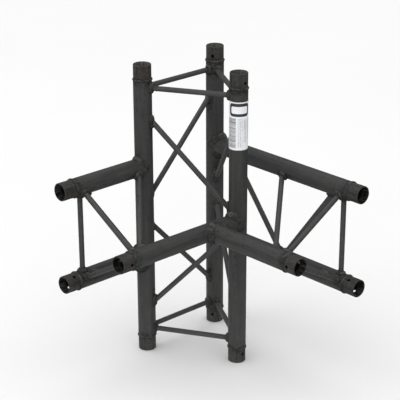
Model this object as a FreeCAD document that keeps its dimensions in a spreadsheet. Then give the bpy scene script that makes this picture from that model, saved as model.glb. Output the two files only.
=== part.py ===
import FreeCAD, Part

import os

import Sketcher
from FreeCAD import Placement, Rotation, Vector

# Four-way corner of a triangular lighting truss, welded from round aluminium tube: an upright column with
# two horizontal arms at right angles. Lengths are in millimetres.
#
# Frame: +Z is up and the origin lies on the column's centre line, in its lower connection face. The left
# arm runs along -Y and the right arm along +X.

# Driving dimensions: alias, value, meaning.
DIMENSIONS = [
    ("chord_spacing", 185, "between the centres of two main tubes"),
    ("chord_diameter", 35, "main tube, outside"),
    ("chord_wall", 1.6, "main tube"),
    ("column_height", 584, "between the two connection faces of the column"),
    ("arm_reach", 404, "from the outer face of the far main tube to the arm's connection face"),
    ("strut_diameter", 10, "cross struts and diagonals, outside"),
    ("strut_wall", 1, "cross struts and diagonals"),
    ("ring_setback", 45, "from a connection face to its ring of cross struts"),
    ("cope_relief", 1, "trimmed off the two tips of a coped tube end"),
    ("coupler_diameter", 34, "exposed sleeve of a coupler"),
    ("coupler_exposed", 28, "length of a coupler outside its tube"),
    ("coupler_spigot", 22, "length of a coupler inside its tube"),
    ("coupler_edge", 0.7, "bevel round the coupler's face"),
    ("spigot_clearance", 0.05, "between spigot and tube, on the radius"),
    ("mouth_diameter", 30, "tapered socket at the connection face"),
    ("land_diameter", 27, "plain bore behind the taper"),
    ("taper_depth", 26, "length of the taper"),
    ("pin_hole_diameter", 7, "cross hole for the locking pin"),
    ("pin_setback", 18, "from the connection face to the cross hole"),
    ("bead_setback", 29, "from the connection face to the weld bead's centre"),
    ("bead_size", 2.3, "radius of the coupler's weld bead"),
    ("joint_bead", 1.8, "height of the weld bead where main tubes meet"),
    ("column_diagonal_rise", 194, "height gained by a column diagonal"),
    ("front_left_upper_foot", 7, "upper diagonal's foot on the front tube, above mid height"),
    ("front_left_lower_foot", 11, "lower diagonal's foot on the front tube, below mid height"),
    ("left_back_upper_foot", 15, "the same on the left tube, for the face to the back tube"),
    ("left_back_lower_foot", 13, "lower diagonal of that face"),
    ("back_front_upper_foot", 12, "the same on the back tube, for the face to the front tube"),
    ("back_front_lower_foot", 12, "lower diagonal of that face"),
    ("arm_diagonal_run", 138, "length of arm covered by a diagonal"),
    ("left_face_start", 13, "left arm: first foot on the sloping faces, from the left tube's centre"),
    ("left_rear_start", 18, "left arm: first foot on the upright face"),
    ("right_face_start", 186, "right arm: first foot on the sloping faces, from the back tube's centre"),
    ("right_rear_start", 189, "right arm: first foot of the outer diagonal on the upright face"),
    ("right_inner_start", 47, "right arm: first foot of the inner diagonal on the upright face"),
    ("right_inner_run", 147, "right arm: length covered by the inner diagonal"),
    ("label_bottom", 440, "height of the sticker's lower edge"),
    ("label_height", 92, "sticker"),
    ("label_thickness", 0.2, "sticker"),
    ("label_sweep", 220, "degrees of the tube that the sticker covers"),
    ("label_start", -153, "degrees from +X to the sticker's first edge"),
]

# Expressions that several pieces share. The triangle's centroid is each leg's centre line.
APEX = "(Dims.chord_spacing / sqrt(3))"
BASE = "(-Dims.chord_spacing / sqrt(3) / 2)"
HALF = "(Dims.chord_spacing / 2)"
DEPTH = "(Dims.chord_spacing * sqrt(3) / 2)"
TUBE = "(Dims.chord_diameter / 2)"
TUBE_BORE = "(Dims.chord_diameter / 2 - Dims.chord_wall)"
ARM_LEVEL = "(Dims.column_height / 2)"
LEFT_ARM_END = "(Dims.arm_reach - Dims.chord_spacing - Dims.chord_diameter / 2)"
RIGHT_ARM_END = "(Dims.arm_reach - Dims.chord_diameter / 2)"

# The triangle's three corners in a leg's own axes: x, y and the direction in degrees from its centre line.
CORNERS = {
    "A": (BASE, "-" + HALF, -120),
    "B": (BASE, HALF, 120),
    "C": (APEX, "0", 0),
}

# Direction of each face of the triangle, from its first corner to its second, in degrees.
FACE_ANGLES = {"AB": 90, "BA": -90, "AC": 30, "CA": -150, "BC": -30, "CB": 150}

# Each leg has an origin, a direction along it (z) and a direction to its single front tube (x).
LEGS = {
    "column": {
        "origin": ("0", "0", "0"),
        "z": Vector(0, 0, 1),
        "x": Vector(1, 0, 0),
        "corners": {"left": "A", "back": "B", "front": "C"},
    },
    "left_arm": {
        "origin": ("0", "-" + HALF, ARM_LEVEL),
        "z": Vector(0, -1, 0),
        "x": Vector(1, 0, 0),
        "corners": {"bottom": "A", "top": "B", "front": "C"},
    },
    "right_arm": {
        "origin": (BASE, HALF + " + " + BASE, ARM_LEVEL),
        "z": Vector(1, 0, 0),
        "x": Vector(0, -1, 0),
        "corners": {"top": "A", "bottom": "B", "front": "C"},
    },
}

doc = FreeCAD.newDocument("truss_corner")
sheet = doc.addObject("Spreadsheet::Sheet", "Dims")
nodes = []


def fill_sheet():
    """Write the driving dimensions, one row each: meaning, value."""
    for row, (alias, value, meaning) in enumerate(DIMENSIONS, start=1):
        sheet.set(f"A{row}", meaning)
        sheet.set(f"B{row}", str(value))
        sheet.setAlias(f"B{row}", alias)
    doc.recompute()


def leg_axes(leg):
    """The leg's own x, y and z directions in the part's frame."""
    return leg["x"], leg["z"].cross(leg["x"]), leg["z"]


def leg_rotation(leg):
    x_axis, y_axis, z_axis = leg_axes(leg)
    return Rotation(x_axis, y_axis, z_axis, "ZXY")


def world_point(leg, local):
    """Expressions in the part's frame for a point given in a leg's own axes."""
    point = []
    for axis in range(3):
        terms = [leg["origin"][axis]]
        for direction, distance in zip(leg_axes(leg), local):
            if abs(direction[axis]) > 0.5:
                terms.append(f"{direction[axis]:+.0f} * ({distance})")
        point.append(" ".join(terms))
    return point


def place(piece, point, rotation=Rotation()):
    """Turn a piece, and bind its position to three expressions."""
    piece.Placement = Placement(Vector(0, 0, 0), rotation)
    for axis, expression in zip("xyz", point):
        piece.setExpression(f"Placement.Base.{axis}", expression)
    return piece


def cylinder(name, radius, height, point=("0", "0", "0"), rotation=Rotation()):
    rod = doc.addObject("Part::Cylinder", name)
    rod.setExpression("Radius", radius)
    rod.setExpression("Height", height)
    return place(rod, point, rotation)


def cut(name, base, tool):
    result = doc.addObject("Part::Cut", name)
    result.Base = base
    result.Tool = tool
    return result


def fuse(name, pieces):
    result = doc.addObject("Part::MultiFuse", name)
    result.Shapes = pieces
    return result


def keep(piece, name):
    """Label a finished piece and list it for export."""
    piece.Label = name
    nodes.append(piece)
    return piece


def main_tube(leg_name, corner_name, start, end, cope_along=None):
    """A hollow main tube along one corner of a leg. A coped end fits round the tube that it meets."""
    leg = LEGS[leg_name]
    name = f"{leg_name}_{corner_name}_chord"
    x, y, _ = CORNERS[leg["corners"][corner_name]]
    first = f"{start} + Dims.cope_relief" if cope_along else f"{start} + Dims.coupler_exposed"
    length = f"{end} - Dims.coupler_exposed - ({first})"
    outside = cylinder(name + "_outside", TUBE, length, (x, y, first))
    bore = cylinder(name + "_bore", TUBE_BORE, length, (x, y, first))
    tube = cut(name + "_tube", outside, bore)
    if cope_along == "y":
        point = (x, f"{y} - Dims.chord_diameter", start)
        cope = cylinder(name + "_cope", TUBE, "2 * Dims.chord_diameter", point, Rotation(Vector(1, 0, 0), -90))
        tube = cut(name + "_coped", tube, cope)
    if cope_along == "x":
        point = (f"{x} - Dims.chord_diameter", y, start)
        cope = cylinder(name + "_cope", TUBE, "2 * Dims.chord_diameter", point, Rotation(Vector(0, 1, 0), 90))
        tube = cut(name + "_coped", tube, cope)
    place(tube, world_point(leg, ("0", "0", "0")), leg_rotation(leg))
    return keep(tube, name)


def attached_sketch(body, name, plane):
    """A sketch on one of the body's own origin planes."""
    sketch = body.newObject("Sketcher::SketchObject", name)
    support = next(item for item in body.Origin.OriginFeatures if item.Role == plane)
    sketch.AttachmentSupport = (support, "")
    sketch.MapMode = "FlatFace"
    return sketch


def bind_point(sketch, geometry, position, name, expressions):
    """Hold a sketch point at two expressions, measured from the sketch's origin."""
    for kind, suffix, expression in zip(("DistanceX", "DistanceY"), ("across", "along"), expressions):
        if expression == "0":
            axis_line = -2 if kind == "DistanceX" else -1
            sketch.addConstraint(Sketcher.Constraint("PointOnObject", geometry, position, axis_line))
            continue
        value = sheet.evalExpression(expression)
        index = sketch.addConstraint(Sketcher.Constraint(kind, -1, 1, geometry, position, value))
        sketch.renameConstraint(index, f"{name}_{suffix}")
        sketch.setExpression(f"Constraints.{name}_{suffix}", expression)


def closed_outline(sketch, corners):
    """Draw a closed outline through named corners: name, distance across, distance along."""
    points = [Vector(sheet.evalExpression(across), sheet.evalExpression(along), 0) for _, across, along in corners]
    for index, point in enumerate(points):
        sketch.addGeometry(Part.LineSegment(point, points[(index + 1) % len(points)]), False)
    for index in range(len(points)):
        following = (index + 1) % len(points)
        sketch.addConstraint(Sketcher.Constraint("Coincident", index, 2, following, 1))
    for index, (name, across, along) in enumerate(corners):
        bind_point(sketch, index, 1, name, (across, along))


def coupler(leg_name, corner_name, end_name, distance, inward):
    """A turned coupler socket: a tapered mouth, a plain bore behind it, a spigot and a cross hole.

    Its own +Z runs from the connection face into the truss, and its cross hole lies along its X.
    """
    leg = LEGS[leg_name]
    x, y, azimuth = CORNERS[leg["corners"][corner_name]]
    name = f"{leg_name}_{end_name}{corner_name}_coupler"
    body = doc.addObject("PartDesign::Body", name)

    outline = attached_sketch(body, name + "_outline", "XZ_Plane")
    face_radius = "Dims.coupler_diameter / 2 - Dims.coupler_edge"
    sleeve_radius = "Dims.coupler_diameter / 2"
    spigot_radius = "Dims.chord_diameter / 2 - Dims.chord_wall - Dims.spigot_clearance"
    spigot_end = "Dims.coupler_exposed + Dims.coupler_spigot"
    closed_outline(outline, [
        ("mouth", "Dims.mouth_diameter / 2", "0"),
        ("face_rim", face_radius, "0"),
        ("bevel", sleeve_radius, "Dims.coupler_edge"),
        ("shoulder", sleeve_radius, "Dims.coupler_exposed"),
        ("spigot_root", spigot_radius, "Dims.coupler_exposed"),
        ("spigot_tip", spigot_radius, spigot_end),
        ("bore_end", "Dims.land_diameter / 2", spigot_end),
        ("taper_end", "Dims.land_diameter / 2", "Dims.taper_depth"),
    ])
    turned = body.newObject("PartDesign::Revolution", name + "_turned")
    turned.Profile = outline
    turned.ReferenceAxis = (outline, ["V_Axis"])
    turned.Angle = 360

    hole = attached_sketch(body, name + "_pin_circle", "YZ_Plane")
    centre = Vector(0, sheet.evalExpression("Dims.pin_setback"), 0)
    hole.addGeometry(Part.Circle(centre, Vector(0, 0, 1), 1), False)
    bind_point(hole, 0, 3, "centre", ("0", "Dims.pin_setback"))
    width = hole.addConstraint(Sketcher.Constraint("Diameter", 0, 2))
    hole.renameConstraint(width, "pin_hole")
    hole.setExpression("Constraints.pin_hole", "Dims.pin_hole_diameter")
    drilled = body.newObject("PartDesign::Pocket", name + "_drilled")
    drilled.Profile = hole
    drilled.Type = "ThroughAll"
    drilled.SideType = "Symmetric"
    body.Tip = drilled

    x_axis, y_axis, z_axis = leg_axes(leg)
    radial = Rotation(z_axis, azimuth).multVec(x_axis)
    along = z_axis * inward
    body_rotation = Rotation(radial, along.cross(radial), along, "ZXY")
    place(body, world_point(leg, (x, y, distance)), body_rotation)
    return keep(body, name)


def strut(name, leg_name, from_corner, to_corner, start, end):
    """A thin tube across one face of a leg, coped round the main tube at each end.

    start and end are distances along the leg, on the two main tubes' centre lines.
    """
    leg = LEGS[leg_name]
    x, y, _ = CORNERS[leg["corners"][from_corner]]
    face = FACE_ANGLES[leg["corners"][from_corner] + leg["corners"][to_corner]]
    run = f"(({end}) - ({start}))"
    length = f"sqrt(Dims.chord_spacing ^ 2 + {run} ^ 2)"
    point = ("0", "0", start)
    outside = cylinder(name + "_outside", "Dims.strut_diameter / 2", length, point)
    bore = cylinder(name + "_bore", "Dims.strut_diameter / 2 - Dims.strut_wall", length, point)
    for rod in (outside, bore):
        # Any turn about Y: the expression sets its angle.
        rod.Placement = Placement(rod.Placement.Base, Rotation(Vector(0, 1, 0), 90))
        rod.setExpression("Placement.Rotation.Angle", f"90 deg - atan({run} / Dims.chord_spacing)")
    tube = cut(name + "_tube", outside, bore)
    coped = cut(name + "_coped", tube, strut_cope)
    rotation = leg_rotation(leg).multiply(Rotation(Vector(0, 0, 1), face))
    place(coped, world_point(leg, (x, y, "0")), rotation)
    return keep(coped, name)


def main_tubes():
    """The nine main tubes."""
    for corner_name in ("left", "back", "front"):
        main_tube("column", corner_name, "0", "Dims.column_height")
    for corner_name in ("top", "bottom"):
        main_tube("left_arm", corner_name, "0", LEFT_ARM_END, cope_along="y")
        main_tube("right_arm", corner_name, "0", RIGHT_ARM_END, cope_along="y")
    main_tube("left_arm", "front", "-" + HALF, LEFT_ARM_END, cope_along="y")
    main_tube("right_arm", "front", DEPTH, RIGHT_ARM_END, cope_along="x")


def couplers():
    """A coupler on each of the twelve open ends."""
    for corner_name in ("left", "back", "front"):
        coupler("column", corner_name, "bottom_", "0", 1)
        coupler("column", corner_name, "top_", "Dims.column_height", -1)
    for corner_name in ("top", "bottom", "front"):
        coupler("left_arm", corner_name, "", LEFT_ARM_END, -1)
        coupler("right_arm", corner_name, "", RIGHT_ARM_END, -1)


def column_struts():
    """A ring of three cross struts near each end, and two diagonals on each face that meet near mid height."""
    rise = "Dims.column_diagonal_rise"
    low_ring = "Dims.ring_setback"
    high_ring = "Dims.column_height - Dims.ring_setback"
    for first, second in (("front", "left"), ("left", "back"), ("back", "front")):
        face_name = f"{first}_{second}"
        strut(f"column_bottom_strut_{face_name}", "column", first, second, low_ring, low_ring)
        strut(f"column_top_strut_{face_name}", "column", first, second, high_ring, high_ring)
        foot = f"{ARM_LEVEL} + Dims.{face_name}_upper_foot"
        strut(f"column_upper_diagonal_{face_name}", "column", first, second, foot, f"{foot} + {rise}")
        foot = f"{ARM_LEVEL} - Dims.{face_name}_lower_foot"
        strut(f"column_lower_diagonal_{face_name}", "column", first, second, foot, f"{foot} - {rise}")


def arm_struts():
    """A ring of three cross struts near each arm's end, and the diagonals of its three faces."""
    for leg_name, end in (("left_arm", LEFT_ARM_END), ("right_arm", RIGHT_ARM_END)):
        ring = f"{end} - Dims.ring_setback"
        for first, second in (("top", "bottom"), ("top", "front"), ("front", "bottom")):
            strut(f"{leg_name}_end_strut_{first}_{second}", leg_name, first, second, ring, ring)
    diagonals = (
        ("left_arm", "top", "front", "Dims.left_face_start"),
        ("left_arm", "bottom", "top", "Dims.left_rear_start"),
        ("left_arm", "front", "bottom", "Dims.left_face_start"),
        ("right_arm", "top", "front", "Dims.right_face_start"),
        ("right_arm", "bottom", "top", "Dims.right_rear_start"),
        ("right_arm", "front", "bottom", "Dims.right_face_start"),
    )
    for leg_name, first, second, start in diagonals:
        end = f"{start} + Dims.arm_diagonal_run"
        strut(f"{leg_name}_diagonal_{first}_{second}", leg_name, first, second, start, end)
    start = "Dims.right_inner_start"
    end = "Dims.right_inner_start + Dims.right_inner_run"
    strut("right_arm_inner_diagonal_top_bottom", "right_arm", "top", "bottom", start, end)


def coupler_beads():
    """The weld bead round each coupler's shoulder, twelve separate rings in one node."""
    ring = doc.addObject("Part::Torus", "bead_ring")
    ring.setExpression("Radius1", "Dims.coupler_diameter / 2")
    ring.setExpression("Radius2", "Dims.bead_size")
    place(ring, ("0", "0", "Dims.bead_setback"))
    sleeve = cylinder("bead_sleeve", "Dims.coupler_diameter / 2", "Dims.coupler_exposed")
    tube = cylinder("bead_tube", TUBE, "Dims.coupler_exposed", ("0", "0", "Dims.coupler_exposed"))
    core = fuse("bead_core", [sleeve, tube])
    beads = []
    for socket in [piece for piece in nodes if piece.Label.endswith("_coupler")]:
        bead = cut(socket.Label + "_bead", ring, core)
        bead.setExpression("Placement", f"{socket.Name}.Placement")
        beads.append(bead)
    group = doc.addObject("Part::Compound", "coupler_beads")
    group.Links = beads
    keep(group, "coupler_weld_beads")


def joint_beads():
    """The weld bead where each arm tube meets the tube that it stands on, six separate solids in one node."""
    size = f"{TUBE} + Dims.joint_bead"
    reach = "2 * Dims.chord_diameter"
    across = Rotation(Vector(1, 0, 0), -90)
    middle = ("0", "-Dims.chord_diameter", "0")
    swollen_arm = cylinder("joint_swollen_arm", size, "Dims.chord_diameter")
    swollen_through = cylinder("joint_swollen_through", size, reach, middle, across)
    arm = cylinder("joint_arm", TUBE, "Dims.chord_diameter")
    through = cylinder("joint_through", TUBE, reach, middle, across)
    swollen = doc.addObject("Part::MultiCommon", "joint_swollen")
    swollen.Shapes = [swollen_arm, swollen_through]
    core = fuse("joint_core", [arm, through])
    joints = (
        ("left_arm", "top", "0", 0),
        ("left_arm", "bottom", "0", 0),
        ("left_arm", "front", "-" + HALF, 0),
        ("right_arm", "top", "0", 0),
        ("right_arm", "bottom", "0", 0),
        ("right_arm", "front", DEPTH, 90),
    )
    beads = []
    for leg_name, corner_name, distance, turn in joints:
        leg = LEGS[leg_name]
        x, y, _ = CORNERS[leg["corners"][corner_name]]
        bead = cut(f"{leg_name}_{corner_name}_joint_bead", swollen, core)
        rotation = leg_rotation(leg).multiply(Rotation(Vector(0, 0, 1), turn))
        beads.append(place(bead, world_point(leg, (x, y, distance)), rotation))
    group = doc.addObject("Part::Compound", "joint_beads")
    group.Links = beads
    keep(group, "chord_joint_welds")


def label():
    """The sticker, wrapped part of the way round the column's front tube."""
    outside = cylinder("label_outside", f"{TUBE} + Dims.label_thickness", "Dims.label_height")
    outside.setExpression("Angle", "Dims.label_sweep")
    sticker = cut("label_shell", outside, cylinder("label_inside", TUBE, "Dims.label_height"))
    # Any turn about Z: the expression sets its angle.
    sticker.Placement = Placement(Vector(0, 0, 0), Rotation(Vector(0, 0, 1), 90))
    sticker.setExpression("Placement.Rotation.Angle", "Dims.label_start")
    sticker.setExpression("Placement.Base.x", APEX)
    sticker.setExpression("Placement.Base.z", "Dims.label_bottom")
    keep(sticker, "label_sticker")


def check_and_export():
    """Stop on any object in error or with a bad shape, then write one STEP file for each piece."""
    for item in doc.Objects:
        if "Invalid" in item.State or "Error" in item.State:
            raise RuntimeError(f"{item.Label} did not compute: {item.State}")
    for piece in nodes:
        if piece.Shape.isNull() or not piece.Shape.isValid():
            raise RuntimeError(f"{piece.Label} has no valid shape")
    os.makedirs("parts", exist_ok=True)
    for piece in nodes:
        piece.Shape.exportStep(f"parts/{piece.Label}.step")


fill_sheet()
cope_length = "4 * Dims.column_height"
cope_low = "-2 * Dims.column_height"
strut_cope = fuse("strut_cope", [
    cylinder("strut_cope_near", TUBE, cope_length, ("0", "0", cope_low)),
    cylinder("strut_cope_far", TUBE, cope_length, ("Dims.chord_spacing", "0", cope_low)),
])
main_tubes()
couplers()
column_struts()
arm_struts()
coupler_beads()
joint_beads()
label()
doc.recompute()
check_and_export()
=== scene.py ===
import math
import random
from collections import namedtuple

import bpy
from mathutils import Matrix, Vector


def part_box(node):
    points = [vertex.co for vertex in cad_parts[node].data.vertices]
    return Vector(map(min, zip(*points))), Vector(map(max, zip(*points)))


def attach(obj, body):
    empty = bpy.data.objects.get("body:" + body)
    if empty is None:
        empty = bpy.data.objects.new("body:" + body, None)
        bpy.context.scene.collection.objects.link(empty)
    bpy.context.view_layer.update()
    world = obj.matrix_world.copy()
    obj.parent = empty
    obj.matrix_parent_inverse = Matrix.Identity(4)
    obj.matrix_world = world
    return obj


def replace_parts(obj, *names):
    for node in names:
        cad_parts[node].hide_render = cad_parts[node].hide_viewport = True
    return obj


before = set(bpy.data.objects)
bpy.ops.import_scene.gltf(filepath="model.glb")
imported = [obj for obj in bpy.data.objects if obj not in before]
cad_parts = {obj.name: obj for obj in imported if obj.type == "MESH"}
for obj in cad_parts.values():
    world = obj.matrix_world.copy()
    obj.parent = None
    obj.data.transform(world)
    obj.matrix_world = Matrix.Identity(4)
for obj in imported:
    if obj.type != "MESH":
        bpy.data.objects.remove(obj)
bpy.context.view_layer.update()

# Triangular lighting truss corner: an upright column with two arms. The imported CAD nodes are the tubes,
# couplers and sticker, and this script adds rippled weld beads, coatings, a floor, lights and a camera.
# Lengths are in metres, in the CAD frame.

MM = 0.001

TUBE_RADIUS = 17.5 * MM
STRUT_RADIUS = 5.0 * MM
COUPLER_RADIUS = 17.0 * MM
# From a connection face to the middle of the weld bead behind it.
BEAD_SETBACK = 29.0 * MM
# How far the diagonals climb along their leg.
COLUMN_RISE = 194.0 * MM
ARM_RUN = 138.0 * MM
INNER_RUN = 147.0 * MM

X_AXIS = Vector((1, 0, 0))
Y_AXIS = Vector((0, 1, 0))
Z_AXIS = Vector((0, 0, 1))

# Each leg: the direction from its root to its connection face, and its three main tubes.
LEG_DIRECTIONS = {"column": Z_AXIS, "left_arm": -Y_AXIS, "right_arm": X_AXIS}
LEG_TUBES = {
    "column": ("left", "back", "front"),
    "left_arm": ("top", "bottom", "front"),
    "right_arm": ("top", "bottom", "front"),
}


def node_middle(node):
    low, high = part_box(node)
    return (Vector(low) + Vector(high)) / 2


def tube_line(leg_name, tube_name):
    """A point on a main tube's centre line and the line's direction."""
    return node_middle(f"{leg_name}_{tube_name}_chord"), LEG_DIRECTIONS[leg_name]


def nearest_on_line(line, point):
    origin, direction = line
    return origin + direction * (point - origin).dot(direction)


# ---------------------------------------------------------------- struts, read from the CAD nodes

# A strut's node, its leg, the two main tubes that it joins, and how far it climbs along the leg.
Strut = namedtuple("Strut", "node leg first second climb")


def all_struts():
    struts = []
    for pair in (("front", "left"), ("left", "back"), ("back", "front")):
        tail = "_".join(pair)
        struts.append(Strut(f"column_bottom_strut_{tail}", "column", *pair, 0))
        struts.append(Strut(f"column_top_strut_{tail}", "column", *pair, 0))
        struts.append(Strut(f"column_upper_diagonal_{tail}", "column", *pair, COLUMN_RISE))
        struts.append(Strut(f"column_lower_diagonal_{tail}", "column", *pair, -COLUMN_RISE))
    for arm in ("left_arm", "right_arm"):
        for pair in (("top", "bottom"), ("top", "front"), ("front", "bottom")):
            struts.append(Strut(f"{arm}_end_strut_{'_'.join(pair)}", arm, *pair, 0))
        for pair in (("top", "front"), ("bottom", "top"), ("front", "bottom")):
            struts.append(Strut(f"{arm}_diagonal_{'_'.join(pair)}", arm, *pair, ARM_RUN))
    struts.append(Strut("right_arm_inner_diagonal_top_bottom", "right_arm", "top", "bottom", INNER_RUN))
    return struts


def strut_ends(strut):
    """Where a strut's centre line meets the centre lines of its two main tubes."""
    middle = node_middle(strut.node)
    ends = []
    for tube_name, side in ((strut.first, -0.5), (strut.second, 0.5)):
        line = tube_line(strut.leg, tube_name)
        ends.append(nearest_on_line(line, middle) + LEG_DIRECTIONS[strut.leg] * strut.climb * side)
    return ends


# ---------------------------------------------------------------- weld beads

# The pit where a weld stopped: its depth, and its half-width as a share of the way round.
CRATER_DEPTH = 2.4 * MM
CRATER_WIDTH = 0.035
# How much a bead's leg and height wander, as shares of themselves.
LEG_WANDER = 0.22
BULGE_WANDER = 0.3
# How far each ripple's crown trails behind its feet, in radians.
RIPPLE_LEAN = 2.2
# How far a bead's hidden root reaches into the metal.
ROOT_DEPTH = 0.6 * MM

# The beads round the couplers. The wanders are shares, and the drift is a length along the tube.
COUPLER_BEAD_HALF_WIDTH = 2.7 * MM
COUPLER_BEAD_BULGE = 2.0 * MM
COUPLER_WIDTH_WANDER = 0.28
COUPLER_BULGE_WANDER = 0.07
COUPLER_BEAD_DRIFT = 0.35 * MM
COUPLER_RIPPLE_PITCH = 3.1 * MM
COUPLER_RIPPLE = 0.16 * MM

# The beads where main tubes meet. The bulge is a share of the leg.
JOINT_BULGE = 0.18
JOINT_BEAD_SINK = 0.35 * MM
JOINT_RIPPLE_PITCH = 4.2 * MM
JOINT_RIPPLE = 0.4 * MM

# The fillet beads at the feet of the struts.
FOOT_BEAD_LEG = 5.2 * MM
FOOT_BEAD_BULGE = 1.5 * MM
FOOT_BEAD_SINK = 0.25 * MM
FOOT_RIPPLE_PITCH = 3.1 * MM
FOOT_RIPPLE = 0.35 * MM

# One cut across a bead: its foot on each tube, its hidden root, the way out of the metal, and its height.
Section = namedtuple("Section", "foot_a foot_b root outward bulge")


class Wobble:
    """A smooth closed wave of small random ups and downs, for one trip round a bead."""

    def __init__(self, dice, waves=5):
        self.terms = [(n, dice.uniform(0, math.tau), dice.uniform(0.3, 1) / n) for n in range(1, waves + 1)]
        self.size = sum(height for _, _, height in self.terms)

    def at(self, turn):
        return sum(h * math.sin(n * turn * math.tau + phase) for n, phase, h in self.terms) / self.size


def scallop(phase):
    """The side view of overlapping weld ripples: a slow rise and a quick fall in each turn."""
    return 0.75 * math.sin(phase) + 0.25 * math.sin(2 * phase)


def new_mesh(name, verts, faces):
    mesh = bpy.data.meshes.new(name)
    mesh.from_pydata([tuple(v) for v in verts], [], faces)
    mesh.update()
    return mesh


def bead_mesh(name, sections, pitch, ripple, arc_steps=8):
    """A closed bead through its sections, with ripples at the given pitch and height."""
    lengths = []
    travelled = 0.0
    previous = sections[0].root
    for section in sections:
        travelled += (section.root - previous).length
        lengths.append(travelled)
        previous = section.root
    around = travelled + (sections[0].root - previous).length
    ripples = max(1, round(around / pitch))
    verts = []
    for section, distance in zip(sections, lengths):
        phase = math.tau * ripples * distance / around
        for step in range(arc_steps + 1):
            share = step / arc_steps
            crown = 4 * share * (1 - share)
            wave = ripple * crown ** 0.5 * scallop(phase - RIPPLE_LEAN * crown)
            between = section.foot_a.lerp(section.foot_b, share)
            verts.append(between + section.outward * (section.bulge * crown + wave))
        verts.append(section.root - section.outward * ROOT_DEPTH)
    ring = arc_steps + 2
    faces = []
    for i in range(len(sections)):
        here = i * ring
        there = ((i + 1) % len(sections)) * ring
        for j in range(ring):
            k = (j + 1) % ring
            faces.append((here + j, here + k, there + k, there + j))
    return new_mesh(name, verts, faces)


def tangents(points):
    """Directions along a closed path."""
    count = len(points)
    return [(points[(i + 1) % count] - points[i - 1]).normalized() for i in range(count)]


def off_line(point, line):
    """The part of a point's offset from a line that is square to it."""
    return point - nearest_on_line(line, point)


def onto_tube(point, line, radius):
    """The nearest point on a tube's surface."""
    axis_point = nearest_on_line(line, point)
    return axis_point + (point - axis_point).normalized() * radius


def joint_sections(points, line_a, radius_a, line_b, radius_b, leg, bulge, sink, crater, dice):
    """Sections of a bead along the seam where tube b stands on tube a.

    leg is how far the bead reaches from the seam and sink is how far its feet lie under the surface.
    crater is how far round the seam the weld stopped, from 0 to 1: the bead sinks to a small pit there.
    """
    wobble = Wobble(dice)
    swell = Wobble(dice)
    normals_a = [off_line(p, line_a).normalized() for p in points]
    normals_b = [off_line(p, line_b).normalized() for p in points]
    along = tangents(points)
    sharpest = min(range(len(points)), key=lambda i: normals_a[i].dot(normals_b[i]))
    hand = 1 if along[sharpest].cross(normals_a[sharpest]).dot(normals_b[sharpest]) > 0 else -1
    sections = []
    for i, point in enumerate(points):
        turn = i / len(points)
        size = leg * (1 + LEG_WANDER * wobble.at(turn))
        toward_a = along[i].cross(normals_a[i]) * hand
        toward_b = along[i].cross(normals_b[i]) * -hand
        foot_a = onto_tube(point + toward_a * size, line_a, radius_a - sink)
        foot_b = onto_tube(point + toward_b * size, line_b, radius_b - sink)
        outward = (normals_a[i] + normals_b[i]).normalized()
        away = (turn - crater + 0.5) % 1 - 0.5
        pit = CRATER_DEPTH * math.exp(-(away / CRATER_WIDTH) ** 2)
        height = bulge * (1 + BULGE_WANDER * swell.at(turn)) - pit
        sections.append(Section(foot_a, foot_b, point, outward, height))
    return sections


def foot_points(line, end, direction, count):
    """The seam round a strut's foot on a main tube: points on both surfaces."""
    sideways = line[1].cross(direction).normalized()
    upright = sideways.cross(direction).normalized()
    slope = direction - line[1] * direction.dot(line[1])
    points = []
    for i in range(count):
        angle = math.tau * i / count
        start = (upright * math.cos(angle) + sideways * math.sin(angle)) * STRUT_RADIUS
        flat = start - line[1] * start.dot(line[1])
        half = flat.dot(slope)
        rest = slope.length_squared * (flat.length_squared - TUBE_RADIUS ** 2)
        reach = (-half + math.sqrt(half ** 2 - rest)) / slope.length_squared
        points.append(end + start + direction * reach)
    return points


def crossing_points(center, arm_direction, through_direction, count):
    """The seam where an arm tube stands on an equal tube that passes through at right angles."""
    # Softens the crease where the seam passes the tube's two sides.
    rounding = 2.5 * MM
    sideways = through_direction.cross(arm_direction)
    points = []
    for i in range(count):
        angle = math.tau * i / count
        across = sideways * math.cos(angle) * TUBE_RADIUS
        along = through_direction * math.sin(angle) * TUBE_RADIUS
        rise = math.sqrt((TUBE_RADIUS * math.sin(angle)) ** 2 + rounding ** 2)
        points.append(center + across + along + arm_direction * rise)
    return points


def add_weld(mesh, material):
    """One smooth weld piece that is named after its mesh."""
    piece = bpy.data.objects.new(mesh.name, mesh)
    bpy.context.scene.collection.objects.link(piece)
    mesh.shade_smooth()
    mesh.materials.append(material)
    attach(piece, "root")
    return piece


def join_meshes(name, parts):
    """Several closed meshes as one."""
    verts = []
    faces = []
    for part in parts:
        first = len(verts)
        verts.extend(v.co.copy() for v in part.vertices)
        faces.extend(tuple(first + i for i in polygon.vertices) for polygon in part.polygons)
        bpy.data.meshes.remove(part)
    return new_mesh(name, verts, faces)


def coupler_face(node):
    """The middle of a coupler's connection face and the way that it faces."""
    leg = next(name for name in LEG_DIRECTIONS if node.startswith(name))
    out = LEG_DIRECTIONS[leg]
    if node.startswith("column_bottom"):
        out = -out
    low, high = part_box(node)
    half_length = abs((Vector(high) - Vector(low)).dot(out)) / 2
    return node_middle(node) + out * half_length, out


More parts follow.
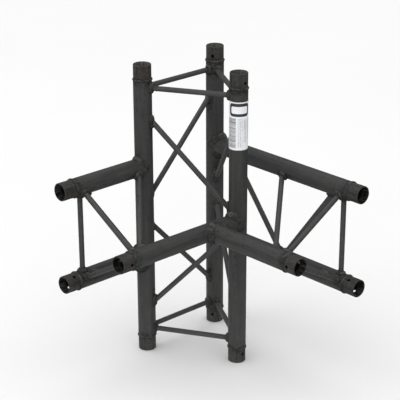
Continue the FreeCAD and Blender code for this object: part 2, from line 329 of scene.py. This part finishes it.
def coupler_beads(material):
    """The bead round each coupler's shoulder. These replace the plain rings of the CAD."""
    dice = random.Random(11)
    steps = 240
    sleeve_foot = COUPLER_RADIUS - 0.3 * MM
    tube_foot = TUBE_RADIUS - 0.4 * MM
    for node in sorted(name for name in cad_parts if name.endswith("_coupler")):
        face, out = coupler_face(node)
        center = face - out * BEAD_SETBACK
        side = Z_AXIS if abs(out.z) < 0.5 else X_AXIS
        other = out.cross(side)
        wobble = Wobble(dice)
        swell = Wobble(dice)
        start = dice.uniform(0, math.tau)
        sections = []
        for i in range(steps):
            turn = i / steps
            angle = start + math.tau * turn
            outward = side * math.cos(angle) + other * math.sin(angle)
            half_width = COUPLER_BEAD_HALF_WIDTH * (1 + COUPLER_WIDTH_WANDER * wobble.at(turn))
            drift = COUPLER_BEAD_DRIFT * swell.at(turn)
            foot_a = center + outward * sleeve_foot + out * (half_width + drift)
            foot_b = center + outward * tube_foot - out * (half_width - drift)
            root = center + outward * COUPLER_RADIUS
            bulge = COUPLER_BEAD_BULGE * (1 + COUPLER_BULGE_WANDER * swell.at(turn))
            sections.append(Section(foot_a, foot_b, root, outward, bulge))
        name = node.replace("coupler", "coupler_bead")
        mesh = bead_mesh(name, sections, COUPLER_RIPPLE_PITCH, COUPLER_RIPPLE)
        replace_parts(add_weld(mesh, material), "coupler_weld_beads")


def joint_beads(material):
    """The bead where each arm tube stands on another main tube. These replace the plain beads of the CAD."""
    dice = random.Random(23)
    # The arm tube, the tube that it stands on, and the bead's leg in millimetres.
    joints = (
        ("left_arm", "top", "column", "left", 5.5),
        ("left_arm", "bottom", "column", "left", 12.0),
        ("left_arm", "front", "column", "front", 8.5),
        ("right_arm", "top", "column", "back", 9.0),
        ("right_arm", "bottom", "column", "back", 9.0),
        ("right_arm", "front", "left_arm", "front", 8.5),
    )
    for arm, tube_name, through_leg, through_tube, leg in joints:
        arm_line = tube_line(arm, tube_name)
        through_line = tube_line(through_leg, through_tube)
        center = nearest_on_line(through_line, arm_line[0])
        points = crossing_points(center, arm_line[1], through_line[1], count=300)
        crater = dice.uniform(0, 1)
        sections = joint_sections(points, through_line, TUBE_RADIUS, arm_line, TUBE_RADIUS,
                                  leg * MM, JOINT_BULGE * leg * MM, JOINT_BEAD_SINK, crater, dice)
        name = f"{arm}_{tube_name}_joint_bead"
        mesh = bead_mesh(name, sections, JOINT_RIPPLE_PITCH, JOINT_RIPPLE, arc_steps=12)
        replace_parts(add_weld(mesh, material), "chord_joint_welds")


def foot_beads(material):
    """The fillet weld round both feet of every strut."""
    dice = random.Random(37)
    for strut in all_struts():
        first_end, second_end = strut_ends(strut)
        parts = []
        for here, there, tube_name in (
            (first_end, second_end, strut.first),
            (second_end, first_end, strut.second),
        ):
            line = tube_line(strut.leg, tube_name)
            direction = (there - here).normalized()
            points = foot_points(line, here, direction, count=120)
            size = FOOT_BEAD_LEG * dice.uniform(0.88, 1.15)
            crater = dice.uniform(0, 1)
            sections = joint_sections(points, line, TUBE_RADIUS, (here, direction), STRUT_RADIUS,
                                      size, FOOT_BEAD_BULGE, FOOT_BEAD_SINK, crater, dice)
            parts.append(bead_mesh("part", sections, FOOT_RIPPLE_PITCH, FOOT_RIPPLE))
        add_weld(join_meshes(f"{strut.node}_foot_beads", parts), material)


# ---------------------------------------------------------------- materials

class Nodes:
    """Short ways to add and join the nodes of one material or world."""

    def __init__(self, owner):
        self.owner = owner
        self.owner.use_nodes = True
        self.tree = self.owner.node_tree
        self.tree.nodes.clear()

    def add(self, kind, inputs=None, **settings):
        node = self.tree.nodes.new(kind)
        for key, value in settings.items():
            setattr(node, key, value)
        for key, value in (inputs or {}).items():
            self.feed(node, key, value)
        return node

    def feed(self, node, key, value):
        socket = node.inputs[key]
        if isinstance(value, bpy.types.NodeSocket):
            self.tree.links.new(value, socket)
        elif isinstance(value, bpy.types.Node):
            self.tree.links.new(value.outputs[0], socket)
        else:
            socket.default_value = value

    def math(self, operation, a, b=0.0, clamp=False):
        node = self.add("ShaderNodeMath", {0: a, 1: b}, operation=operation, use_clamp=clamp)
        return node.outputs[0]

    def largest(self, *values):
        result = values[0]
        for value in values[1:]:
            result = self.math("MAXIMUM", result, value)
        return result

    def dot(self, vector, direction):
        node = self.add("ShaderNodeVectorMath", {0: vector, 1: tuple(direction)}, operation="DOT_PRODUCT")
        return node.outputs["Value"]

    def noise(self, vector, scale, detail=3.0, roughness=0.5):
        node = self.add("ShaderNodeTexNoise",
                        {"Vector": vector, "Scale": scale, "Detail": detail, "Roughness": roughness})
        return node.outputs["Fac"]

    def spread(self, value, low, high, out_low=0.0, out_high=1.0):
        """Map a range of values smoothly onto another."""
        node = self.add("ShaderNodeMapRange", {"Value": value, "From Min": low, "From Max": high,
                                               "To Min": out_low, "To Max": out_high},
                        interpolation_type="SMOOTHSTEP")
        return node.outputs["Result"]

    def mix(self, share, first, second):
        node = self.add("ShaderNodeMix", data_type="RGBA")
        self.feed(node, 0, share)
        for index, value in ((6, first), (7, second)):
            self.feed(node, index, value if isinstance(value, bpy.types.NodeSocket) else (*value, 1.0))
        return node.outputs[2]

    def bump(self, height, distance, strength=1.0, normal=None):
        inputs = {"Height": height, "Distance": distance, "Strength": strength}
        if normal is not None:
            inputs["Normal"] = normal
        return self.add("ShaderNodeBump", inputs).outputs["Normal"]

    def finish(self, color, roughness, normal, **constants):
        shader = self.add("ShaderNodeBsdfPrincipled",
                          {"Base Color": color, "Roughness": roughness, "Normal": normal, **constants})
        self.add("ShaderNodeOutputMaterial", {"Surface": shader})
        return self.owner

    def tube_space(self, position, direction):
        """Coordinates squeezed along a tube, so that noise draws out into lengthwise streaks."""
        direction = Vector(direction).normalized()
        side = direction.orthogonal().normalized()
        other = direction.cross(side)
        return self.add("ShaderNodeCombineXYZ", {
            "X": self.dot(position, side),
            "Y": self.dot(position, other),
            "Z": self.math("MULTIPLY", self.dot(position, direction), 0.04),
        }).outputs[0]

    def edges(self, radius):
        """1 on sharp outer edges, 0 on flat metal."""
        soft = self.add("ShaderNodeBevel", {"Radius": radius}, samples=4)
        plain = self.add("ShaderNodeNewGeometry").outputs["Normal"]
        cosine = self.add("ShaderNodeVectorMath", {0: soft.outputs[0], 1: plain}, operation="DOT_PRODUCT")
        return self.spread(cosine.outputs["Value"], 0.97, 0.80)

    def crevices(self, distance, start=0.75, full=0.25):
        """1 deep in corners, 0 in the open."""
        shade = self.add("ShaderNodeAmbientOcclusion", {"Distance": distance}, samples=6)
        return self.spread(shade.outputs["AO"], start, full)


# Coat colours.
BLACK = (0.0335, 0.0338, 0.0345)
BLACK_WARM = (0.0370, 0.0360, 0.0343)
STRUT_BLACK = (0.0400, 0.0402, 0.0407)
STRUT_WARM = (0.0445, 0.0435, 0.0420)
BLACK_BROWN = (0.0310, 0.0287, 0.0250)
BLACK_SHADE = (0.0200, 0.0198, 0.0190)
# Black of dirt, also used for painted shade in creases and deep in bores.
BLACK_DIRT_AND_SHADE = (0.004, 0.004, 0.004)
# Dusty black, also used for painted glints in the arm mouths.
BLACK_DUST_AND_GLINT = (0.066, 0.065, 0.063)
# Painted light on the column bore walls: a lit grey and a painted highlight.
BORE_LIT_GREY = (0.050, 0.048, 0.044)
BORE_HIGHLIGHT = (0.125, 0.122, 0.112)
BARE_METAL = (0.16, 0.155, 0.145)
# Strength of the coats' mirror reflection, and how much rougher dirt and painted shade make them.
TUBE_SHEEN = 0.16
STRUT_SHEEN = 0.24
COUPLER_SHEEN = 0.14
WELD_SHEEN = 0.13
DIRT_AND_SHADE_ROUGHNESS = 0.25
# Sticker colours.
PAPER = (0.80, 0.81, 0.83)
PAPER_STAINED = (0.70, 0.71, 0.73)
PAPER_FIBRE = (0.55, 0.55, 0.56)
PAPER_EDGE = (0.42, 0.42, 0.42)
FRAME_INK = (0.012, 0.012, 0.013)
HATCH_INK = (0.10, 0.10, 0.10)
RULE_INK = (0.16, 0.16, 0.17)


def bead_places(leg):
    """Distances along a leg's direction from the part's origin to its coupler beads."""
    places = set()
    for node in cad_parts:
        if node.startswith(leg) and node.endswith("_coupler"):
            face, out = coupler_face(node)
            center = face - out * BEAD_SETBACK
            places.add(round(center.dot(LEG_DIRECTIONS[leg]), 4))
    return sorted(places)


def bead_distance(n, position, leg):
    """How far a point lies, along the leg, from the nearest coupler bead."""
    distance = n.dot(position, LEG_DIRECTIONS[leg])
    nearest = None
    for place in bead_places(leg):
        away = n.math("ABSOLUTE", n.math("SUBTRACT", distance, place))
        nearest = away if nearest is None else n.math("MINIMUM", nearest, away)
    return nearest


def coat(n, color, dirt_and_shade, roughness, normal, sheen):
    """The finished coat. Dirt and painted shade are black and rough."""
    dirty = n.mix(dirt_and_shade, color, BLACK_DIRT_AND_SHADE)
    rough = n.math("ADD", roughness, n.math("MULTIPLY", dirt_and_shade, DIRT_AND_SHADE_ROUGHNESS))
    return n.finish(dirty, rough, normal, **{"Specular IOR Level": sheen})


def coated_tube(name, direction, leg, streaks, tones, sheen):
    """Satin black coat over drawn tube: fine grain, lengthwise streaks, dust, sooty welds, painted shade
    round joints and strut feet, and rubbed edges.

    streaks is the strength of the lengthwise marks and tones are the coat's two black shades.
    """
    n = Nodes(bpy.data.materials.new(name))
    position = n.add("ShaderNodeTexCoord").outputs["Object"]
    drawn = n.tube_space(position, direction)
    peel = n.noise(position, 620.0, 2.0)
    grain = n.noise(position, 2600.0, 1.0)
    patches = n.noise(position, 38.0, 4.0, 0.6)
    blotches = n.noise(position, 150.0, 4.0, 0.65)
    lines = n.noise(drawn, 330.0, 3.0, 0.65)
    smears = n.noise(drawn, 110.0, 4.0, 0.6)

    # Two blacks in patches, dust along the tube, and rubbed edges.
    color = n.mix(n.spread(patches, 0.4, 0.6), *tones)
    color = n.mix(n.spread(smears, 0.52, 0.66, 0.0, 0.35 * streaks), color, BLACK_DUST_AND_GLINT)
    dusty = n.math("MULTIPLY", n.spread(lines, 0.52, 0.66), n.spread(patches, 0.44, 0.58))
    color = n.mix(n.math("MULTIPLY", dusty, 0.45 * streaks), color, BLACK_DUST_AND_GLINT)
    rub = n.math("MULTIPLY", n.edges(0.8 * MM), n.spread(patches, 0.42, 0.62))
    color = n.mix(n.math("MULTIPLY", rub, 0.55), color, BARE_METAL)

    # Dark streaks and scrapes, soot beside the coupler beads, and painted shade in creases and round the
    # strut feet where tubes meet.
    worn = n.spread(smears, 0.47, 0.34, 0.0, 0.35 * streaks)
    scrapes = n.math("MULTIPLY", n.spread(lines, 0.47, 0.36), n.spread(blotches, 0.47, 0.57, 0.0, 0.5))
    soot = n.math("MULTIPLY", n.spread(bead_distance(n, position, leg), 17 * MM, 4 * MM),
                  n.spread(blotches, 0.42, 0.56, 0.1, 0.7))
    # Painted shade: ambient occlusion darkens the tube round strut feet and joints, broken up by blotches.
    painted_joint_shade = n.math("MULTIPLY", n.crevices(20 * MM, 0.95, 0.72), n.spread(blotches, 0.43, 0.56, 0.15, 0.8))
    dirt_and_shade = n.largest(worn, scrapes, soot, painted_joint_shade, n.math("MULTIPLY", n.crevices(7 * MM), 0.8))

    roughness = n.math("ADD", n.spread(smears, 0.3, 0.7, 0.40, 0.54), n.spread(grain, 0.3, 0.7, -0.03, 0.03))
    normal = n.bump(peel, 0.10 * MM, 0.35)
    normal = n.bump(grain, 0.03 * MM, 0.3, normal)
    normal = n.bump(lines, 0.05 * MM, 0.3 * streaks, normal)
    return coat(n, color, dirt_and_shade, roughness, normal, sheen)


def coated_coupler(name, line, leg):
    """Thin brownish coat over a turned coupler: tool rings, scuffs along it, worn rims, painted highlights in
    the column mouths and painted shade in the arm mouths and deep in the bores.
    """
    origin, direction = line
    n = Nodes(bpy.data.materials.new(name))
    position = n.add("ShaderNodeTexCoord").outputs["Object"]
    distance = n.dot(position, direction)
    drawn = n.tube_space(position, direction)
    waver = n.noise(position, 90.0, 2.0)
    along_rings = n.math("ADD", distance, n.math("MULTIPLY", waver, 0.6 * MM))
    rings = n.add("ShaderNodeTexNoise", {"W": along_rings, "Scale": 700.0, "Detail": 3.0},
                  noise_dimensions="1D").outputs["Fac"]
    scuffs = n.noise(drawn, 300.0, 3.0, 0.6)
    patches = n.noise(position, 60.0, 4.0, 0.6)
    blotches = n.noise(position, 210.0, 4.0, 0.65)
    bore_highlight_streaks = n.noise(drawn, 520.0, 3.0, 0.6)
    grain = n.noise(position, 2600.0, 1.0)

    # Where the point lies: in the bore or outside, in its mouth or deep in it, and how near the ground.
    offset = n.add("ShaderNodeVectorMath", {0: position, 1: tuple(origin)}, operation="SUBTRACT").outputs[0]
    squared = n.add("ShaderNodeVectorMath", {0: offset, 1: offset}, operation="DOT_PRODUCT").outputs["Value"]
    along = n.dot(offset, direction)
    radius = n.math("SQRT", n.math("SUBTRACT", squared, n.math("MULTIPLY", along, along)))
    bore = n.spread(radius, 15.6 * MM, 15.2 * MM)
    from_bead = bead_distance(n, position, leg)
    mouth = n.math("MULTIPLY", bore, n.spread(from_bead, 14 * MM, 21 * MM))
    grounded = n.spread(n.dot(position, Z_AXIS), 120 * MM, 80 * MM)
    # Painted shade deep in the bore and in the bores of the bottom couplers.
    painted_bore_shade = n.math("MULTIPLY", bore, n.largest(grounded, n.spread(from_bead, 19 * MM, 12 * MM)))

    # Browner black with dusty scuffs and rings, a mouth with painted highlight streaks in the columns and
    # painted shade with painted glints in the arms, and worn rims.
    color = n.mix(n.spread(patches, 0.4, 0.6), BLACK_BROWN, BLACK_WARM)
    color = n.mix(n.math("MULTIPLY", n.spread(scuffs, 0.51, 0.62), 0.3), color, BLACK_DUST_AND_GLINT)
    color = n.mix(n.math("MULTIPLY", n.spread(rings, 0.53, 0.63), 0.2), color, BLACK_DUST_AND_GLINT)
    # Painted light and shade: column mouths get grey walls with painted highlight streaks, arm mouths get
    # painted shade with a few painted glints.
    if leg == "column":
        mouth_light_and_shade = n.mix(n.spread(bore_highlight_streaks, 0.44, 0.58), BORE_LIT_GREY, BORE_HIGHLIGHT)
    else:
        mouth_light_and_shade = n.mix(n.spread(bore_highlight_streaks, 0.48, 0.64), BLACK_DIRT_AND_SHADE, BLACK_DUST_AND_GLINT)
    color = n.mix(mouth, color, mouth_light_and_shade)
    rub = n.math("MULTIPLY", n.edges(0.7 * MM), n.spread(patches, 0.32, 0.55))
    color = n.mix(n.math("MULTIPLY", rub, 0.5), color, BARE_METAL)

    # Dark scrapes, grooves, stains, soot and painted shade in creases, all outside the mouth, and painted
    # shade deep in the bore and in the bores near the ground.
    outside = n.math("SUBTRACT", 1.0, mouth)
    scrapes = n.spread(scuffs, 0.47, 0.37, 0.0, 0.6)
    grooves = n.spread(rings, 0.47, 0.38, 0.0, 0.4)
    stains = n.spread(blotches, 0.5, 0.6, 0.0, 0.45)
    soot = n.math("MULTIPLY", n.spread(from_bead, 11 * MM, 3 * MM), n.spread(blotches, 0.42, 0.58, 0.0, 0.7))
    dirt_and_shade = n.largest(scrapes, grooves, stains, soot, n.math("MULTIPLY", n.crevices(6 * MM), 0.8))
    dirt_and_shade = n.largest(n.math("MULTIPLY", dirt_and_shade, outside), painted_bore_shade)

    roughness = n.math("ADD", n.spread(rings, 0.3, 0.7, 0.42, 0.54), n.spread(scuffs, 0.4, 0.8, 0.0, 0.12))
    normal = n.bump(rings, 0.05 * MM, 0.5)
    normal = n.bump(scuffs, 0.06 * MM, 0.4, normal)
    normal = n.bump(grain, 0.03 * MM, 0.3, normal)
    return coat(n, color, dirt_and_shade, roughness, normal, COUPLER_SHEEN)


def coated_weld(name):
    """The same coat over weld metal, which is lumpier, with painted shade in its hollows and on its
    undersides, and rubbed crests.
    """
    n = Nodes(bpy.data.materials.new(name))
    position = n.add("ShaderNodeTexCoord").outputs["Object"]
    lumps = n.noise(position, 380.0, 3.0, 0.6)
    grain = n.noise(position, 2200.0, 2.0)
    patches = n.noise(position, 90.0, 3.0, 0.6)

    # Dust settles on what faces up, and what faces down gets painted shade.
    color = n.mix(n.spread(patches, 0.42, 0.56), BLACK_SHADE, BLACK_WARM)
    facing = n.dot(n.add("ShaderNodeNewGeometry").outputs["Normal"], Z_AXIS)
    settled = n.math("MULTIPLY", n.spread(facing, 0.2, 0.9), n.spread(patches, 0.43, 0.57, 0.1, 0.9))
    color = n.mix(settled, color, BLACK_DUST_AND_GLINT)
    rub = n.math("MULTIPLY", n.edges(0.5 * MM), n.spread(lumps, 0.45, 0.7))
    color = n.mix(n.math("MULTIPLY", rub, 0.4), color, BARE_METAL)
    # Painted shade on the downward-facing weld metal.
    painted_underside_shade = n.spread(facing, -0.15, -0.8, 0.0, 0.75)
    pitted = n.spread(lumps, 0.49, 0.40, 0.0, 0.6)
    # The ambient occlusion term paints shade into the weld's hollows.
    dirt_and_shade = n.largest(painted_underside_shade, pitted, n.math("MULTIPLY", n.crevices(6 * MM, 0.8, 0.35), 0.95))

    roughness = n.spread(lumps, 0.3, 0.7, 0.36, 0.54)
    normal = n.bump(lumps, 0.35 * MM, 0.6)
    normal = n.bump(grain, 0.04 * MM, 0.35, normal)
    return coat(n, color, dirt_and_shade, roughness, normal, WELD_SHEEN)


def printed_label(name, center, low, high):
    """A pale paper sticker with a blank black frame, a block of hatching and thin rules.

    The print is laid out in millimetres: across runs round the tube from +X, and up from the lower edge.
    """
    n = Nodes(bpy.data.materials.new(name))
    position = n.add("ShaderNodeTexCoord").outputs["Object"]
    east = n.math("SUBTRACT", n.dot(position, X_AXIS), center.x)
    north = n.math("SUBTRACT", n.dot(position, Y_AXIS), center.y)
    angle = n.math("ARCTAN2", north, east)
    across = n.math("MULTIPLY", angle, TUBE_RADIUS / MM)
    up = n.math("MULTIPLY", n.math("SUBTRACT", n.dot(position, Z_AXIS), low), 1 / MM)
    height = (high - low) / MM

    def inside(value, start, stop, soft=0.25):
        """1 between two distances, with soft ends."""
        rising = n.spread(value, start - soft, start + soft)
        falling = n.spread(value, stop - soft, stop + soft, 1.0, 0.0)
        return n.math("MULTIPLY", rising, falling)

    def block(left, right, bottom, top):
        return n.math("MULTIPLY", inside(across, left, right), inside(up, bottom, top))

    def rounded(left, right, bottom, top, corner):
        """1 inside a rounded rectangle."""
        middle_x = (left + right) / 2
        middle_y = (bottom + top) / 2
        out_x = n.math("SUBTRACT", n.math("ABSOLUTE", n.math("SUBTRACT", across, middle_x)),
                       (right - left) / 2 - corner)
        out_y = n.math("SUBTRACT", n.math("ABSOLUTE", n.math("SUBTRACT", up, middle_y)),
                       (top - bottom) / 2 - corner)
        out_x = n.math("MAXIMUM", out_x, 0.0)
        out_y = n.math("MAXIMUM", out_y, 0.0)
        squared = n.math("ADD", n.math("POWER", out_x, 2.0), n.math("POWER", out_y, 2.0))
        return n.spread(n.math("SQRT", squared), corner - 0.25, corner + 0.25, 1.0, 0.0)

    frame_outer = rounded(-32.5, 8.5, height - 27.5, height - 2.5, 6.5)
    frame_inner = rounded(-28.0, 4.5, height - 22.0, height - 8.5, 3.0)
    frame_ink = n.math("SUBTRACT", frame_outer, frame_inner, clamp=True)

    stripes = n.add("ShaderNodeTexNoise", {"W": up, "Scale": 1.1, "Detail": 1.0}, noise_dimensions="1D")
    hatch = n.math("MULTIPLY", n.spread(stripes.outputs["Fac"], 0.43, 0.49),
                   block(-35.5, -18.5, 4.0, height - 30.0))
    rules = None
    for left, right, bottom, top, spacing in (
        (-16.0, -6.0, 6.0, height - 31.0, 3.4),
        (-4.0, 3.0, 14.0, height - 33.0, 3.3),
        (4.5, 10.5, 20.0, height - 32.0, 3.0),
    ):
        wave = n.math("SINE", n.math("MULTIPLY", across, math.tau / spacing))
        breaks = n.noise(n.add("ShaderNodeCombineXYZ", {
            "X": n.math("FLOOR", n.math("MULTIPLY", across, 1 / spacing)),
            "Y": n.math("MULTIPLY", up, 0.9),
        }).outputs[0], 1.0, 1.0)
        line_ink = n.math("MULTIPLY", n.spread(wave, 0.05, 0.45), n.spread(breaks, 0.42, 0.5))
        line_ink = n.math("MULTIPLY", line_ink, block(left, right, bottom, top))
        rules = line_ink if rules is None else n.math("MAXIMUM", rules, line_ink)

    fibre = n.noise(position, 900.0, 3.0, 0.6)
    stain = n.noise(position, 45.0, 3.0)
    paper = n.mix(n.spread(stain, 0.3, 0.75), PAPER, PAPER_STAINED)
    paper = n.mix(n.math("MULTIPLY", n.spread(fibre, 0.4, 0.7), 0.12), paper, PAPER_FIBRE)
    margin = n.math("MINIMUM", up, n.math("SUBTRACT", height, up))
    paper = n.mix(n.spread(margin, 0.9, 0.2), paper, PAPER_EDGE)
    color = n.mix(n.math("MULTIPLY", hatch, 0.85), paper, HATCH_INK)
    color = n.mix(n.math("MULTIPLY", rules, 0.8), color, RULE_INK)
    color = n.mix(frame_ink, color, FRAME_INK)
    roughness = n.spread(fibre, 0.3, 0.7, 0.42, 0.52)
    normal = n.bump(fibre, 0.02 * MM, 0.3)
    return n.finish(color, roughness, normal)


def floor_paper(name):
    """A pale studio ground with a faint tooth."""
    n = Nodes(bpy.data.materials.new(name))
    position = n.add("ShaderNodeTexCoord").outputs["Object"]
    tooth = n.noise(position, 300.0, 3.0)
    wide = n.noise(position, 1.5, 2.0)
    color = n.mix(n.spread(wide, 0.3, 0.7), (0.75, 0.75, 0.75), (0.74, 0.74, 0.74))
    return n.finish(color, n.spread(tooth, 0.3, 0.7, 0.85, 0.95), n.bump(tooth, 0.1 * MM, 0.1),
                    **{"Specular IOR Level": 0.1})


def set_material(node, material):
    """Every slot of a CAD node gets the material."""
    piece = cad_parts[node]
    for index in range(max(1, len(piece.material_slots))):
        if index < len(piece.material_slots):
            piece.material_slots[index].material = material
        else:
            piece.data.materials.append(material)


def dress_tubes():
    for leg, tubes in LEG_TUBES.items():
        material = coated_tube(f"{leg}_tube_coat", LEG_DIRECTIONS[leg], leg,
                               0.6, (BLACK, BLACK_WARM), TUBE_SHEEN)
        for tube_name in tubes:
            set_material(f"{leg}_{tube_name}_chord", material)


def dress_struts():
    for strut in all_struts():
        first_end, second_end = strut_ends(strut)
        material = coated_tube(f"{strut.node}_coat", second_end - first_end, strut.leg,
                               0.5, (STRUT_BLACK, STRUT_WARM), STRUT_SHEEN)
        set_material(strut.node, material)


def dress_couplers():
    for leg, tubes in LEG_TUBES.items():
        ends = ("bottom_", "top_") if leg == "column" else ("",)
        for tube_name in tubes:
            material = coated_coupler(f"{leg}_{tube_name}_coupler_coat", tube_line(leg, tube_name), leg)
            for end in ends:
                set_material(f"{leg}_{end}{tube_name}_coupler", material)


def dress_label():
    low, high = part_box("label_sticker")
    tube_center, _ = tube_line("column", "front")
    set_material("label_sticker", printed_label("label_print", tube_center, low[2], high[2]))


# ---------------------------------------------------------------- studio

def add_floor():
    """A floor just under the part, so wide that no view shows its edge."""
    half = 25.0
    corners = [(-half, -half, 0), (half, -half, 0), (half, half, 0), (-half, half, 0)]
    mesh = new_mesh("studio_floor", corners, [(0, 1, 2, 3)])
    floor = bpy.data.objects.new("studio_floor", mesh)
    floor.location.z = -0.5 * MM
    mesh.materials.append(floor_paper("floor_paper"))
    # The surround and the ground glow light the part from below, so the floor doesn't.
    floor.visible_diffuse = False
    floor.visible_glossy = False
    bpy.context.scene.collection.objects.link(floor)


def add_light(name, location, target, size, power):
    """A square area light."""
    data = bpy.data.lights.new(name, "AREA")
    data.shape = "SQUARE"
    data.size = size
    data.energy = power
    light = bpy.data.objects.new(name, data)
    light.location = location
    light.rotation_mode = "QUATERNION"
    light.rotation_quaternion = (Vector(target) - Vector(location)).to_track_quat("-Z", "Y")
    bpy.context.scene.collection.objects.link(light)
    return light


# The camera: where it looks from, how it is tilted, and its lens.
CAMERA_PLACE = (1.93626, -1.79955, 1.35029)
CAMERA_AZIMUTH = math.radians(47.0669)
CAMERA_ELEVATION = math.radians(24.1395)
CAMERA_ROLL = math.radians(-0.1875)
CAMERA_LENS = 132.42
CAMERA_SHIFT = 0.16498

# Level directions as seen from the camera.
VIEW_RIGHT = Vector((math.cos(CAMERA_AZIMUTH), math.sin(CAMERA_AZIMUTH), 0))
VIEW_FRONT = Vector((math.sin(CAMERA_AZIMUTH), -math.cos(CAMERA_AZIMUTH), 0))

# The soft surround: brightness all round, then a direction and a brightness for each softly lit side.
SURROUND_EVEN = 0.06
SURROUND_SIDES = ((Z_AXIS, 1.5), (-VIEW_RIGHT, 0.70), (VIEW_RIGHT, 0.40), (VIEW_FRONT, 1.15))
# How tightly each side's light gathers round its direction.
SURROUND_FOCUS = 1.5
KEY_POWER = 9.0
KEY_SIZE = 1.6
GLOW_POWER = 1.5
GLOW_SIZE = 1.1


def add_surround():
    """A soft surround, brightest overhead and in front."""
    world = bpy.data.worlds.new("studio")
    n = Nodes(world)
    direction = n.add("ShaderNodeTexCoord").outputs["Generated"]
    total = SURROUND_EVEN
    for axis, brightness in SURROUND_SIDES:
        facing = n.math("MAXIMUM", n.dot(direction, axis), 0.0)
        lobe = n.math("POWER", facing, SURROUND_FOCUS)
        total = n.math("ADD", total, n.math("MULTIPLY", lobe, brightness))
    background = n.add("ShaderNodeBackground", {"Color": (1, 1, 1, 1), "Strength": total})
    n.add("ShaderNodeOutputWorld", {"Surface": background})
    bpy.context.scene.world = world


def add_studio():
    """The surround, one large overhead light and the glow of the ground."""
    add_surround()
    add_light("key_overhead", (-0.9, -1.2, 2.6), (0.05, -0.03, 0.3), KEY_SIZE, KEY_POWER)
    glow = add_light("ground_glow", (0.05, -0.05, 0.5 * MM), (0.05, -0.05, 1.0), GLOW_SIZE, GLOW_POWER)
    glow.visible_camera = False
    bpy.context.scene.view_settings.view_transform = "Standard"


def add_camera():
    back = VIEW_FRONT * math.cos(CAMERA_ELEVATION) + Z_AXIS * math.sin(CAMERA_ELEVATION)
    up = back.cross(VIEW_RIGHT)
    tilted_right = VIEW_RIGHT * math.cos(CAMERA_ROLL) + up * math.sin(CAMERA_ROLL)
    tilted_up = up * math.cos(CAMERA_ROLL) - VIEW_RIGHT * math.sin(CAMERA_ROLL)
    data = bpy.data.cameras.new("camera")
    data.sensor_width = 36.0
    data.lens = CAMERA_LENS
    data.shift_y = CAMERA_SHIFT
    camera = bpy.data.objects.new("camera", data)
    rotation = Matrix((tilted_right, tilted_up, back)).transposed()
    camera.matrix_world = Matrix.Translation(CAMERA_PLACE) @ rotation.to_4x4()
    bpy.context.scene.collection.objects.link(camera)
    bpy.context.scene.camera = camera


weld_coat = coated_weld("weld_coat")
coupler_beads(weld_coat)
joint_beads(weld_coat)
foot_beads(weld_coat)
dress_tubes()
dress_struts()
dress_couplers()
dress_label()
add_floor()
add_studio()
add_camera()
